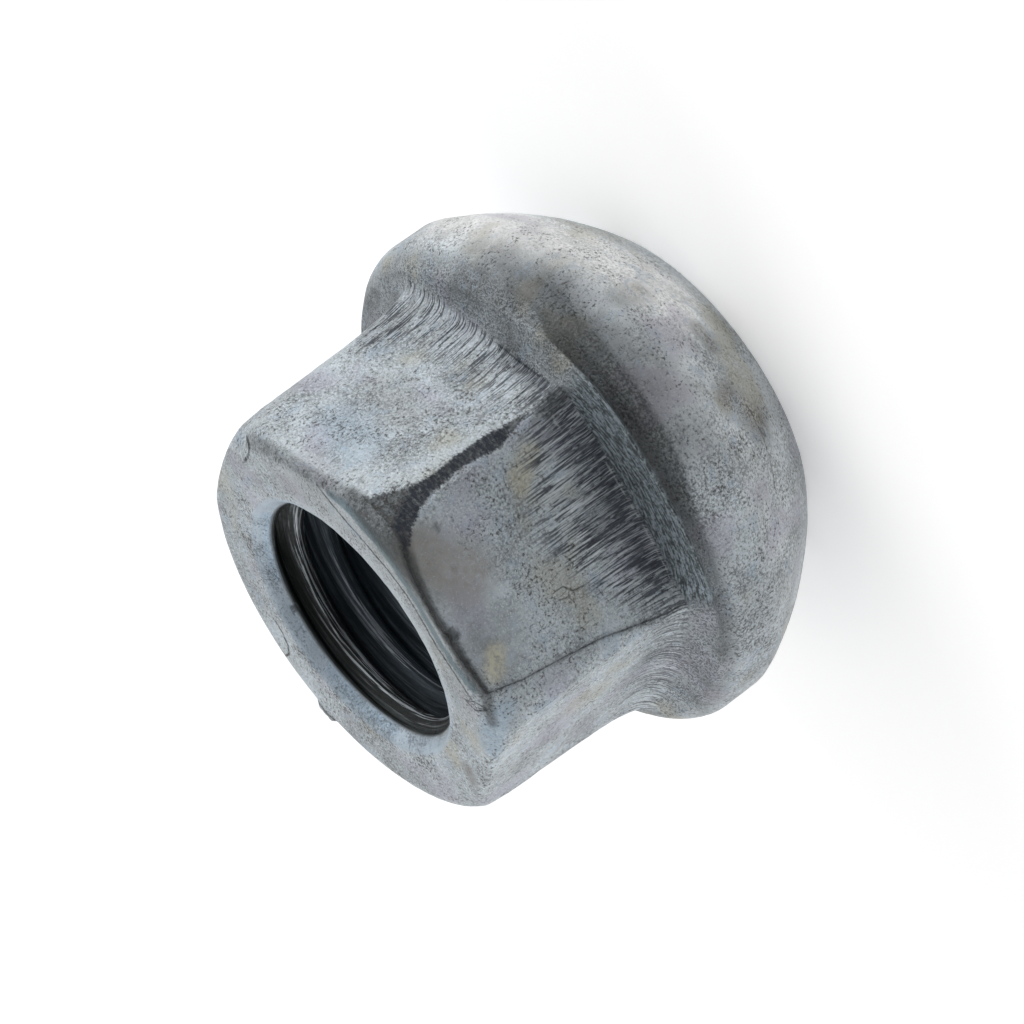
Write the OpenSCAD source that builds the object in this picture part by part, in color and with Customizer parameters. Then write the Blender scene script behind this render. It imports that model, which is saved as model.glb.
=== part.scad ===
// Open wheel nut, forged in one piece: a hexagon head on a collar with a ball seat.
// The origin is the middle of the seat-end face, on which the nut stands, and +Z runs up the
// thread axis to the open end of the hexagon. All sizes are in millimetres.

/* [Hexagon head] */
// Overall height of the nut, from the seat end to the open end
nut_height = 18; // [15:0.5:24]
// Width of the hexagon across its flats
hex_width = 17; // [15.5:0.1:18]
// How deep each corner is left unfilled at the open end, measured from the sharp corner
corner_underfill = 0.6; // [0.2:0.05:0.9]
// How deep each corner is left unfilled at the bend in it, above the ledge
corner_gap_at_bend = 0.2; // [0.1:0.05:0.3]
// Height of that bend above the foot of the flats
bend_height = 2.9; // [2:0.1:4]
// How far each flat has swollen outwards where it meets the collar
flat_flare = 0.3; // [0.1:0.05:0.6]
// Length of the swelling stretch at the foot of each flat
flare_length = 3.3; // [2:0.1:4.5]

/* [Open end] */
// Radius at which the flat ring of the open end gives way to the rounded crown
face_radius = 8.05; // [7:0.05:8.3]
// Width of the crown, measured outwards from the ring
crown_width = 1.4; // [0.8:0.05:1.8]
// Drop of the crown, measured down the axis
crown_drop = 1.45; // [0.8:0.05:2]
// Angle that the crown's rounding turns through
crown_turn = 80; // [30:1:84]

/* [Thread bore] */
// Radius of the bore, measured at the crests of the thread
bore_radius = 5.19; // [4.5:0.01:5.6]
// Radius of both countersinks at their mouths
countersink_radius = 6.1; // [5.7:0.05:6.6]
// Depth of both countersinks
countersink_depth = 1.2; // [0.5:0.1:2]

/* [Ball-seat collar] */
// Radius of the ball seat
ball_radius = 12.5; // [12:0.1:14]
// Height of the ball's centre above the seat end
ball_centre_height = 9.84; // [9:0.02:10.5]
// Radius of the straight band round the collar
collar_radius = 11.65; // [11.4:0.05:11.9]
// Height at which the straight band ends
band_top = 7.05; // [6:0.05:7.3]
// How far the shoulder above the band runs inwards
shoulder_inset = 0.2; // [0.1:0.02:0.3]
// How far the shoulder above the band rises
shoulder_rise = 0.4; // [0.2:0.02:0.6]
// Angle that the shoulder's rounding turns through
shoulder_turn = 44; // [10:1:50]

/* [Ledge under the hexagon] */
// Height of the ledge at its rim
ledge_height = 8.05; // [7.9:0.05:8.5]
// How far the ledge's rim stands in from the straight band round the collar
ledge_inset = 0.55; // [0.45:0.05:1.05]
// Rise of the ledge from its rim to the foot of a flat
ledge_rise = 0.2; // [0.05:0.05:0.4]
// Angle that the valley behind the ledge's rim turns through
valley_turn = 90; // [20:1:100]

/* [Hidden] */
$fn = 96;

// How far a cutting shape runs past the face that it cuts
overrun = 1;
// Number of flats, and the angle from one to the next
sides = 6;
side_angle = 360 / sides;
// Half the width across flats, and the distance of a sharp corner from the axis
flat_distance = hex_width / 2;
corner_distance = flat_distance / cos(side_angle / 2);
corner_flare = flat_flare / cos(side_angle / 2);
// Radius of the ledge's rim
ledge_radius = collar_radius - ledge_inset;
// Height of the hexagon's foot, where a flat meets the ledge
foot_height = ledge_height + ledge_rise;
// How far outside the sharp corner the corner cuts pass at the foot
corner_margin = 0.05;
// The head starts inside the collar, so that the two are one piece
head_base = foot_height / 2;
// How far out, up and down the cuts in the head's sides reach
cut_reach = 2 * corner_distance;
cut_top = nut_height + overrun;
cut_bottom = head_base - overrun;
// A curve starts this many degrees off the straight face that it runs on from
curve_break = 0.7;
// Slope of the crown's outer side below its rounding, off the vertical
crown_slope = 20;

// An arc is given by its two ends and the angle that it turns through. Its centre lies on the
// left of the way from p to q.
function arc_radius(p, q, turn) = norm(q - p) / 2 / sin(turn / 2);
function arc_centre(p, q, turn) = (p + q) / 2 + [p.y - q.y, q.x - p.x] / 2 / tan(turn / 2);

// The disc whose edge is that arc
module arc_disc(p, q, turn) {
    translate(arc_centre(p, q, turn)) circle(arc_radius(p, q, turn));
}

// A rectangle between two opposite corners
module box_between(a, b) {
    translate([min(a.x, b.x), min(a.y, b.y)]) square([abs(b.x - a.x), abs(b.y - a.y)]);
}

// A section, with the distance from the axis across and the height up, drawn out into a bar that
// crosses the side of the head
module side_bar() {
    rotate([90, 0, 0]) linear_extrude(2 * cut_reach, center = true) children();
}

// What is cut away outside a flat: it runs straight down from the open end and then swells
// outwards in a hollow curve
module flat_cut() {
    start = [flat_distance, foot_height + flare_length];
    foot = [flat_distance + flat_flare, foot_height];
    turn = 2 * (atan(flat_flare / flare_length) - curve_break);
    side_bar() {
        box_between(start, [cut_reach, cut_top]);
        intersection() {
            arc_disc(start, foot, turn);
            box_between([start.x - flat_flare, foot.y], [cut_reach, start.y]);
        }
        box_between([foot.x, cut_bottom], [cut_reach, foot.y]);
    }
}

// What is missing outside a corner, where the steel has not filled the die: the gap narrows
// slowly down to the bend and then quickly, and closes above the ledge
module corner_cut() {
    bend = [corner_distance - corner_gap_at_bend, foot_height + bend_height];
    foot = [corner_distance + corner_flare + corner_margin, foot_height];
    slope = (corner_underfill - corner_gap_at_bend) / (nut_height - bend.y);
    top = [corner_distance - corner_underfill - slope * overrun, cut_top];
    side_bar()
        polygon([top, bend, foot, [foot.x, cut_bottom],
                 [cut_reach, cut_bottom], [cut_reach, cut_top]]);
}

// The rounded crown at the open end, as the space that the head is kept to
module crown() {
    inner = [face_radius, nut_height];
    outer = [face_radius + crown_width, nut_height - crown_drop];
    skirt = [outer.x + (outer.y - head_base) * tan(crown_slope), head_base];
    rotate_extrude() {
        polygon([[0, head_base], skirt, outer, inner, [0, nut_height]]);
        intersection() {
            arc_disc(outer, inner, crown_turn);
            box_between(inner, outer);
        }
    }
}

module head() {
    difference() {
        crown();
        for (i = [0 : sides - 1]) {
            rotate(i * side_angle) corner_cut();
            rotate((i + 0.5) * side_angle) flat_cut();
        }
    }
}

// The collar: ball seat, straight band, rounded shoulder, valley, and the ledge under the hexagon
module collar() {
    band = [collar_radius, band_top];
    shoulder = band + [-shoulder_inset, shoulder_rise];
    rim = [ledge_radius, ledge_height];
    seat_top = ball_centre_height - sqrt(pow(ball_radius, 2) - pow(collar_radius, 2));
    mid_band = [collar_radius, (seat_top + band_top) / 2];
    rotate_extrude() {
        intersection() {
            translate([0, ball_centre_height]) circle(ball_radius);
            box_between([0, 0], band);
        }
        difference() {
            polygon([[0, mid_band.y], mid_band, band, shoulder, rim,
                     [flat_distance, foot_height], [0, foot_height]]);
            arc_disc(rim, shoulder, valley_turn);
        }
        intersection() {
            arc_disc(band, shoulder, shoulder_turn);
            box_between(band, shoulder);
        }
    }
}

// The bore, with a countersink at each end
module bore() {
    mouth = countersink_radius
        + overrun * (countersink_radius - bore_radius) / countersink_depth;
    rotate_extrude()
        polygon([
            [0, -overrun],
            [mouth, -overrun],
            [bore_radius, countersink_depth],
            [bore_radius, nut_height - countersink_depth],
            [mouth, nut_height + overrun],
            [0, nut_height + overrun]
        ]);
}

module nut() {
    color([0.62, 0.65, 0.67])
        difference() {
            union() {
                head();
                collar();
            }
            bore();
        }
}

nut();
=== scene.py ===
# %% [markdown]
# # An open wheel nut with a ball seat
# This lesson dresses an exact model of a small forged nut. The real thing is a single piece of steel: a
# hexagon for the wrench, a round collar under it with a ball-shaped seat, and a threaded hole from end to
# end. It is dull grey from its zinc plating. The model is loaded first, because every measure below has to
# agree with it.

# %% Load the exact model
import math

import bmesh
import bpy
import numpy as np
from mathutils import Matrix, Vector, noise


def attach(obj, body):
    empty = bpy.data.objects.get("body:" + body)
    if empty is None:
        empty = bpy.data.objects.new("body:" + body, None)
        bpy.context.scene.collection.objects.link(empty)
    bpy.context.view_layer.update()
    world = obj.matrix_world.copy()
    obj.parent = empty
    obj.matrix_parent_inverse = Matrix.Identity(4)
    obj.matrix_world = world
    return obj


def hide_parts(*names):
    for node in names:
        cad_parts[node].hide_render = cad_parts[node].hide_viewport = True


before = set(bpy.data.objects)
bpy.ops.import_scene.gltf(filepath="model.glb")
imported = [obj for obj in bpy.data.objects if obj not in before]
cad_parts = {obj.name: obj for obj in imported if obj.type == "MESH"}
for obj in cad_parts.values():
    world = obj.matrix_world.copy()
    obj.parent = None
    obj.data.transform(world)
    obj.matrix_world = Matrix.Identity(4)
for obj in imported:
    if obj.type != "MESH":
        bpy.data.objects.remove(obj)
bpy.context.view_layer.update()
MM = 0.001

# %% [markdown]
# The camera stands about 21 cm away and looks down by about 23 degrees, with a long lens, and it
# is rolled so that the nut seems to lie on its side. A camera can be turned by three angles, but
# a rolled one is easier to give as three axes (right, up and backwards, one in each column) and
# a point, which together make its matrix.

# %% Camera
lens_axes = Matrix((
    (-0.48871, 0.84160, 0.22994),
    (-0.45027, -0.01756, -0.89272),
    (-0.74727, -0.53982, 0.38753),
))
camera_place = Vector((47.174, -183.287, 88.847)) * MM
camera_data = bpy.data.cameras.new("camera")
camera_data.lens = 176.42
camera_data.sensor_width = 36
camera_data.clip_start = 0.01
camera_data.clip_end = 10
camera = bpy.data.objects.new("camera", camera_data)
camera.matrix_world = Matrix.Translation(camera_place) @ lens_axes.to_4x4()
bpy.context.scene.collection.objects.link(camera)
bpy.context.scene.camera = camera
print("camera distance in mm:", round(camera_place.length / MM, 1))

# %% [markdown]
# ## The outline
# The outside of the nut is nearly a turned shape, so its half section is drawn once and spun.
# A hexagon could be a six-sided prism joined to a round collar, but on a forging the two flow
# into each other. One skin with even rows and columns can be pushed into both shapes, as clay
# would be. The outline starts at the mouth of the hole, runs over the flat ring of the open end,
# down the crown and the flats, out along the ledge, and round the ball seat to the other mouth.

# Each part of it starts at a key point with a number, and is given as the radius and height in
# mm where it ends, and the number of steps that lead there.

# %% Key points of the outline
TOP = 18.0
START = (5.62, 17.37)
OUTLINE = [
    ((6.10, TOP), 5),
    ((8.05, TOP), 12),
    ((9.45, 16.55), 14),
    ((9.60, 8.30), 48),
    ((11.10, 8.05), 12),
    ((11.65, 6.85), 14),
    ((11.65, 5.31), 8),
    ((7.71, 0.00), 26),
    ((6.10, 0.00), 6),
    ((5.62, 0.63), 4),
]
CROWN, FLATS, LEDGE, SHOULDER = 2, 3, 4, 5
BALL, SEAT_END = 7, 8
print("rows of points:", 1 + sum(steps for point, steps in OUTLINE))

# %% [markdown]
# Every new point is marked with a number that grows along the outline. Blender keeps such a
# mark in a layer, and cutting an edge fills in the numbers between, so each row of the skin can
# be found again after the spin.

# %% Draw the outline


def draw_outline(bm, start, outline):
    """Edges from point to point, each cut into even steps; 'row' counts the key points."""
    row = bm.verts.layers.float.new("row")
    last = bm.verts.new((start[0] * MM, 0, start[1] * MM))
    last[row] = 0
    for number, ((radius, height), steps) in enumerate(outline, 1):
        point = bm.verts.new((radius * MM, 0, height * MM))
        point[row] = number
        edge = bm.edges.new((last, point))
        bmesh.ops.subdivide_edges(bm, edges=[edge], cuts=steps - 1)
        last = max(bm.verts, key=lambda vert: vert[row])


skin = bmesh.new()
draw_outline(skin, START, OUTLINE)
print("points in the outline:", len(skin.verts))

# %% [markdown]
# A spin of 480 steps is slow in one go, so one wedge of it is spun, copied round, and the
# double points where the wedges meet are merged.

# %% Spin the skin
N_ROUND = 480
WEDGES = 12
bmesh.ops.spin(
    skin,
    geom=skin.verts[:] + skin.edges[:],
    cent=(0, 0, 0),
    axis=(0, 0, 1),
    angle=2 * math.pi / WEDGES,
    steps=N_ROUND // WEDGES,
)
wedge = skin.verts[:] + skin.edges[:] + skin.faces[:]
for number in range(1, WEDGES):
    copy = bmesh.ops.duplicate(skin, geom=wedge)["geom"]
    copied = [part for part in copy if isinstance(part, bmesh.types.BMVert)]
    turned = Matrix.Rotation(2 * math.pi * number / WEDGES, 3, "Z")
    bmesh.ops.rotate(skin, verts=copied, cent=(0, 0, 0), matrix=turned)
SAME_POINT = 0.002 * MM
bmesh.ops.remove_doubles(skin, verts=skin.verts, dist=SAME_POINT)
nut_mesh = bpy.data.meshes.new("lug_nut")
skin.to_mesh(nut_mesh)
nut = bpy.data.objects.new("lug_nut", nut_mesh)
bpy.context.scene.collection.objects.link(nut)
print("skin:", len(skin.verts), "points,", len(skin.faces), "faces")

# %% [markdown]
# The points are now read into tables: one row of the table for each row of the outline, one
# column for each direction round the nut. From here on the shape is a radius and a height for
# each place in the table, in millimetres, and moving points is plain arithmetic.

# %% Tables of radius and height


def read_points(mesh):
    flat = np.zeros(len(mesh.vertices) * 3, np.float64)
    mesh.vertices.foreach_get("co", flat)
    return flat.reshape(-1, 3) / MM


points = read_points(nut_mesh)
rows = np.zeros(len(nut_mesh.vertices), np.float32)
nut_mesh.attributes["row"].data.foreach_get("value", rows)
row_levels = np.unique(rows.round(4))
row_of = np.searchsorted(row_levels, rows.round(4) - 1e-3)
direction_of = np.arctan2(points[:, 1], points[:, 0]) / (2 * math.pi)
column_of = np.round(direction_of * N_ROUND).astype(int) % N_ROUND
table = np.zeros((len(row_levels), N_ROUND), int)
table[row_of, column_of] = np.arange(len(points))
radius = np.hypot(points[:, 0], points[:, 1])[table]
height = points[:, 2][table]
turn = np.tile(np.arange(N_ROUND) * 2 * math.pi / N_ROUND, (len(row_levels), 1))
degrees = (np.degrees(turn[0]) + 180) % 360 - 180
print("table:", table.shape, "holds every point:", len(np.unique(table)) == len(points))

# %% [markdown]
# Four small helpers do most of the shaping. One picks the rows between two key points. One
# blends two surfaces with a rounded edge, as a forging has no sharp ones. One eases a value from
# 0 to 1. The last takes values that are known in a few directions and runs them smoothly round.

# %% Shaping helpers


def part_rows(first):
    """Rows from one key point to the next."""
    return np.where((row_levels >= first) & (row_levels <= first + 1))[0]


def soft_min(a, b, blend):
    mix = np.clip(0.5 + 0.5 * (b - a) / blend, 0, 1)
    return b * (1 - mix) + a * mix - blend * mix * (1 - mix)


def ease(x, low, high):
    t = np.clip((x - low) / (high - low), 0, 1)
    return t * t * (3 - 2 * t)


def round_about(known):
    """Values given as (direction in degrees, value), run smoothly round the nut."""
    turns, values = zip(*known)
    raw = np.interp(degrees, turns, values)
    order = np.argsort(degrees)
    ring = raw[order]
    kernel = np.hanning(15) / np.hanning(15).sum()
    ring = np.convolve(np.concatenate([ring[-7:], ring, ring[:7]]), kernel, "valid")
    result = np.empty_like(ring)
    result[order] = ring
    return result


print("a value eased half way:", ease(0.5, 0, 1))

# %% [markdown]
# ## The hexagon
# The steel was pressed into a six-sided die and didn't quite fill its corners. At every corner a
# narrow facet is left, widest at the open end and closing towards the collar. No two corners
# are alike, so each is given by how wide the missing strip is on the flat to its right and on
# the flat to its left, at nine heights.

# %% Unfilled corners
FLAT = 8.5
CORNER = FLAT / math.cos(math.radians(30))
GAP_HEIGHTS = (8.4, 9.6, 11.0, 12.5, 14.0, 15.3, 16.2, 17.2, 18.0)
EVEN_GAP = (0.02, 0.15, 0.35, 0.50, 0.60, 0.75, 0.90, 1.15, 1.50)
WIDE_GAP = (0.02, 0.13, 0.33, 0.48, 0.62, 0.82, 1.02, 1.42, 1.73)
NARROW_GAP = (0.02, 0.10, 0.30, 0.35, 0.50, 0.50, 0.55, 1.20, 1.90)
BROAD_GAP = (0.02, 0.08, 0.25, 0.75, 1.22, 1.42, 1.50, 1.62, 1.90)
CREASE_RIGHT = (0.02, 0.04, 0.22, 0.35, 0.36, 0.50, 0.75, 1.28, 1.90)
CREASE_LEFT = (0.02, 0.04, 0.26, 0.50, 0.60, 0.66, 0.95, 1.40, 1.90)
CORNER_GAPS = [
    (0, EVEN_GAP, EVEN_GAP),
    (60, WIDE_GAP, EVEN_GAP),
    (120, WIDE_GAP, EVEN_GAP),
    (180, EVEN_GAP, WIDE_GAP),
    (240, NARROW_GAP, BROAD_GAP),
    (300, CREASE_RIGHT, CREASE_LEFT),
]
print("corner radius of the full hexagon:", round(CORNER, 2), "mm, corners:", len(CORNER_GAPS))

# %% [markdown]
# Where the flats end and the collar begins, the steel bulged unevenly: the foot of the flats
# rises and falls, the ledge round it is wide on one side and narrow on the other, and its lip is
# sharp on one side only. These are given in a few directions, in degrees round the nut.

# %% Foot, rim, lip and fillet round the nut
foot = round_about([
    (-180, 8.30), (-150, 8.38), (-120, 8.62), (-105, 8.50), (-90, 8.48), (-75, 8.50), (-62, 8.58),
    (-58, 8.75), (-45, 8.50), (-30, 8.36), (-12, 8.20), (0, 8.15), (30, 8.30), (60, 8.20),
    (120, 8.30), (180, 8.30),
])
rim_radius = round_about([
    (-180, 10.90), (-150, 10.95), (-135, 11.25), (-122, 11.32), (-113, 11.33), (-105, 11.25), (-97, 11.10),
    (-90, 11.02), (-82, 11.08), (-70, 11.32), (-60, 11.28), (-52, 11.05), (-42, 10.68), (-30, 10.42),
    (-15, 10.55), (0, 10.85), (60, 10.90), (120, 10.85), (180, 10.90),
])
lip = round_about([
    (-180, 0.05), (-140, 0.15), (-125, 0.75), (-110, 1.0), (-70, 1.0), (-58, 0.9), (-50, 0.5), (-30, 0.35),
    (0, 0.1), (180, 0.05),
])
root_fillet = round_about([
    (-180, 1.1), (-150, 1.2), (-126, 0.9), (-118, 0.22), (-62, 0.18), (-50, 0.30), (-30, 0.40), (-8, 0.6),
    (0, 0.5), (60, 0.7), (180, 1.1),
])
print("foot of the flats between", round(foot.min(), 2), "and", round(foot.max(), 2), "mm high")

# %% [markdown]
# A flat is a straight line seen from above, so its radius in any direction is its distance
# divided by a cosine. The flats swell a little towards the collar. A corner cut is the same sum
# for a slanted line. Taking the smallest of all these radii, softly, gives the whole hexagon
# with its worn edges, and the crown cuts it off at the top. The crown is an arc that stands on a
# slightly slanted wall.

# %% Radius of the crown, and swelling of the flats
ARC_MIDDLE = 7.886
ARC_HEIGHT = 16.441
ARC_RADIUS = 1.568
CROWN_FOOT = 16.55
CROWN_WIDTH = 9.45
WALL_SLOPE = 0.364
SWELL_HEIGHT = 3.4


def crown_radius(z):
    arc = ARC_MIDDLE + np.sqrt(np.clip(ARC_RADIUS ** 2 - (z - ARC_HEIGHT) ** 2, 0, None))
    return np.where(z > CROWN_FOOT, arc, CROWN_WIDTH + (CROWN_FOOT - z) * WALL_SLOPE)


def flat_swell(z):
    t = np.clip((foot + SWELL_HEIGHT - z) / SWELL_HEIGHT, 0, 1.15)
    return 0.06 * t + 0.28 * t ** 2.6


print("crown at its top:", round(float(crown_radius(TOP)), 2), "mm in radius")

# %% [markdown]
# A direction that a flat doesn't face gets a radius far outside, so that the smallest one is
# never taken from there.

# %% Radius of the hexagon in any direction at any height
FAR_OUT = 99.0
LEAST_FACING = 0.5
WORN_EDGE = 0.07
CROWN_EDGE = 0.16


def line_radius(distance, facing):
    reached = distance / np.clip(facing, LEAST_FACING, 1)
    return np.where(facing > LEAST_FACING, reached, FAR_OUT)


def corner_cut(turn, z, corner):
    """Radius of the slanted cut between a point on the right flat and one on the left flat."""
    angle, right_gap, left_gap = corner
    right = np.interp(z, GAP_HEIGHTS, right_gap)
    left = np.interp(z, GAP_HEIGHTS, left_gap)
    a = math.radians(angle)
    tip = CORNER + flat_swell(z) * CORNER / FLAT
    x1 = tip * math.cos(a) + right * math.cos(a - math.radians(120))
    y1 = tip * math.sin(a) + right * math.sin(a - math.radians(120))
    x2 = tip * math.cos(a) + left * math.cos(a + math.radians(120))
    y2 = tip * math.sin(a) + left * math.sin(a + math.radians(120))
    nx, ny = y2 - y1, x1 - x2
    length = np.hypot(nx, ny)
    nx, ny = nx / length, ny / length
    distance = nx * x1 + ny * y1
    facing = np.cos(turn) * nx + np.sin(turn) * ny
    return line_radius(distance, facing)


def hexagon_radius(turn, z):
    result = np.full_like(z, FAR_OUT)
    for k in range(6):
        facing = np.cos(turn - math.radians(30 + 60 * k))
        result = soft_min(result, line_radius(FLAT + flat_swell(z), facing), WORN_EDGE)
    for corner in CORNER_GAPS:
        result = soft_min(result, corner_cut(turn, z, corner), WORN_EDGE)
    return soft_min(result, crown_radius(z), CROWN_EDGE)


half_way = hexagon_radius(turn[:1], np.full((1, N_ROUND), 13.0))
print("radius half way up, flat and corner:", round(half_way.min(), 2), round(half_way.max(), 2))

# %% [markdown]
# Now the rows are laid on that surface. The crown's rows step evenly along its arc and are drawn
# in to the hexagon. The flats' rows run from the crown down to the foot, which isn't level.

# %% Crown and flats
crown_rows = part_rows(CROWN)
t = (row_levels[crown_rows] - CROWN)[:, None]
ARC_TOP, ARC_FOOT = 84, 4
arc = np.radians(ARC_TOP + (ARC_FOOT - ARC_TOP) * t)
height[crown_rows] = np.minimum(ARC_HEIGHT + ARC_RADIUS * np.sin(arc), TOP)
free_radius = ARC_MIDDLE + ARC_RADIUS * np.cos(arc)
cut_radius = hexagon_radius(turn[crown_rows], height[crown_rows])
radius[crown_rows] = free_radius + (cut_radius - free_radius) * ease(t, 0.0, 0.25)

flat_rows = part_rows(FLATS)
t = (row_levels[flat_rows] - FLATS)[:, None]
height[flat_rows] = CROWN_FOOT + (foot - CROWN_FOOT) * t
radius[flat_rows] = hexagon_radius(turn[flat_rows], height[flat_rows])
foot_radius = radius[flat_rows[-1]].copy()
print("radius at the foot:", round(foot_radius.min(), 2), "to", round(foot_radius.max(), 2), "mm")

# %% [markdown]
# The ledge runs from the foot out to the rim. Steel that was pushed sideways leaves a hollow
# corner there, tight on the side with the sharp lip and wide on the others.

# %% Ledge
ledge_rows = part_rows(LEDGE)
t = (row_levels[ledge_rows] - LEDGE)[:, None]
LEDGE_HEIGHT = 8.05
LIP_RISE = 0.07
rim_height = LEDGE_HEIGHT + LIP_RISE * lip
radius[ledge_rows] = foot_radius + (rim_radius - foot_radius) * t
fall = ease(t, -0.6, 1.3)
fall = (fall - fall[0]) / (fall[-1] - fall[0])
height[ledge_rows] = foot + (rim_height - foot) * fall
ledge_heights = height[ledge_rows]
print("ledge between", round(ledge_heights.min(), 2), "and", round(ledge_heights.max(), 2), "mm high")

# %% [markdown]
# A quadratic curve through three points (a bit up the flat, the corner, a bit along the ledge)
# rounds the hollow corner, one direction after another.

# %% Fillet at the foot
head_rows = np.concatenate([flat_rows, ledge_rows[1:]])
steps = np.hypot(np.diff(radius[head_rows], axis=0), np.diff(height[head_rows], axis=0))
walk = np.concatenate([np.zeros((1, N_ROUND)), np.cumsum(steps, axis=0)])
from_corner = walk - walk[len(flat_rows) - 1]
for column in range(N_ROUND):
    reach = root_fillet[column]
    s = from_corner[:, column]
    r = radius[head_rows, column]
    z = height[head_rows, column]
    near = np.abs(s) < reach
    u = (s[near] + reach) / (2 * reach)
    before, at, after = (1 - u) ** 2, 2 * u * (1 - u), u ** 2
    corner_r, corner_z = np.interp(0, s, r), np.interp(0, s, z)
    r[near] = before * np.interp(-reach, s, r) + at * corner_r + after * np.interp(reach, s, r)
    z[near] = before * np.interp(-reach, s, z) + at * corner_z + after * np.interp(reach, s, z)
    radius[head_rows, column] = r
    height[head_rows, column] = z
print("fillet between", round(root_fillet.min(), 2), "and", round(root_fillet.max(), 2), "mm long")

# %% [markdown]
# Under the lip the shoulder falls into a shallow valley before it swells out to the straight
# band of the collar. Below the band lies the ball seat, a true part of a sphere, because it has
# to fit the ball-shaped hollow in a wheel.

# %% Shoulder and ball seat
BALL_RADIUS = 12.5
BALL_HEIGHT = 9.84
COLLAR = 11.649
BAND_TOP = 6.85
HOLLOW_DEPTH = 0.42
HOLLOW_SHARE = 0.62
shoulder_rows = part_rows(SHOULDER)
t = (row_levels[shoulder_rows] - SHOULDER)[:, None]
height[shoulder_rows] = rim_height + (BAND_TOP - rim_height) * t
swell_out = 1 - (1 - t) ** 2.2
hollow = np.clip(np.sin(np.pi * np.clip(t / HOLLOW_SHARE, 0, 1)), 0, 1) ** 1.3
radius[shoulder_rows] = rim_radius + (COLLAR - rim_radius) * swell_out - lip * HOLLOW_DEPTH * hollow
ball_rows = part_rows(BALL)
radius[ball_rows] = np.sqrt(BALL_RADIUS ** 2 - (height[ball_rows] - BALL_HEIGHT) ** 2)
radius = np.minimum(radius, COLLAR)
print("widest radius:", round(radius.max(), 3), "mm")

# %% [markdown]
# No forged face is true. Three sizes of slow noise, from lumps of 4 mm down to ripples of half a
# millimetre, push the surface in and out by a few hundredths. The ends stay nearly flat, because
# the nut stands on one of them.

# %% Unevenness of the forging


def wander(at, scale, seed):
    """Slow even noise between about -1 and 1 for tables of x, y and z in mm."""
    flat = np.stack([a.ravel() for a in at], 1) / scale + seed
    values = np.array([noise.noise(Vector(p)) for p in flat])
    return values.reshape(at[0].shape)


def place(radius, height):
    return radius * np.cos(turn), radius * np.sin(turn), height


slow = wander(place(radius, height), 4.2, 11.0)
middle = wander(place(radius, height), 1.3, 37.0)
small = wander(place(radius, height), 0.45, 71.0)
on_face = ease(height, 17.6, 17.95) * ease(-radius, -8.0, -7.0)
on_sides = ease(height, 0.15, 1.2) * (1 - ease(height, 17.85, 18.0))
lumps = 0.045 * slow + 0.022 * middle + 0.010 * small
radius += on_sides * (lumps - 0.03)
height -= on_face * np.abs(0.03 * middle + 0.016 * small)
print("lumps between", round(lumps.min(), 3), "and", round(lumps.max(), 3), "mm")

# %% [markdown]
# Two small faults are pushed in, like a sculpting brush would do: a ragged burr that stands out at the far
# edge of the open end, and a dent on its near edge. Each is a push that fades with the distance from its
# middle.

# %% Burr and dent


def nearness(direction, at_radius, at_height, reach):
    """1 at a place, fading to 0 at a reach in mm from it."""
    x, y, z = place(radius, height)
    a = math.radians(direction)
    aside = (x - at_radius * math.cos(a)) ** 2 + (y - at_radius * math.sin(a)) ** 2
    distance = np.sqrt(aside + (z - at_height) ** 2)
    return 1 - ease(distance, 0.15 * reach, reach)


BURR = [(117.8, 0.38), (119.8, 0.44), (121.8, 0.36)]
burr = np.zeros_like(radius)
for direction, size in BURR:
    burr = np.maximum(burr, nearness(direction, 8.42, 17.92, size))
BURR_OUT, BURR_UP = 0.36, 0.05
radius += BURR_OUT * burr
height += BURR_UP * burr
dent = nearness(-93, 8.38, 17.93, 0.35)
DENT_IN, DENT_DOWN = 0.10, 0.06
radius -= DENT_IN * dent
height -= DENT_DOWN * dent
radius = np.minimum(radius, COLLAR)
height = np.clip(height, 0, TOP)
print("burr:", int((burr > 0.1).sum()), "points, dent:", int((dent > 0.1).sum()), "points")

# %% [markdown]
# The tables are written back to the mesh in one go.

# %% Write the shape back
x, y, z = place(radius, height)
moved = np.zeros((len(nut_mesh.vertices), 3))
moved[table.ravel()] = np.stack([x.ravel(), y.ravel(), z.ravel()], 1) * MM
nut_mesh.vertices.foreach_set("co", moved.ravel())
nut_mesh.update()
print("skin in mm:", [round(v / MM, 2) for v in nut.dimensions])

# %% [markdown]
# ## The thread
# The hole holds an M12 thread with a pitch of 1.5 mm: for each turn it climbs 1.5 mm. One
# section of the thread is drawn and spun with a climb, which makes exactly one turn. The turn is
# copied upwards, and both ends are cut off level. A screw modifier could do this too, but a mesh
# that is already made can be shaped at its mouths.

# %% One turn of thread
PITCH = 1.5
BORE_STEPS = 180
THREAD_START = -3.68
THREAD_SECTION = [
    (5.205, 0.000), (5.190, 0.050), (5.190, 0.325), (5.205, 0.375), (5.590, 0.610),
    (5.975, 0.820), (6.000, 0.860), (6.000, 1.010), (5.975, 1.050), (5.590, 1.265),
]
bore = bmesh.new()
last = None
for section_radius, rise in THREAD_SECTION + [(5.205, PITCH)]:
    point = bore.verts.new((section_radius * MM, 0, (rise + THREAD_START) * MM))
    if last:
        bore.edges.new((last, point))
    last = point
bmesh.ops.spin(
    bore,
    geom=bore.verts[:] + bore.edges[:],
    cent=(0, 0, 0),
    axis=(0, 0, 1),
    dvec=(0, 0, PITCH * MM / BORE_STEPS),
    angle=2 * math.pi,
    steps=BORE_STEPS,
)
print("one turn:", len(bore.verts), "points")

# %% [markdown]
# Sixteen turns are more than the hole needs, and a level cut at each mouth takes off the rest.

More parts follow.
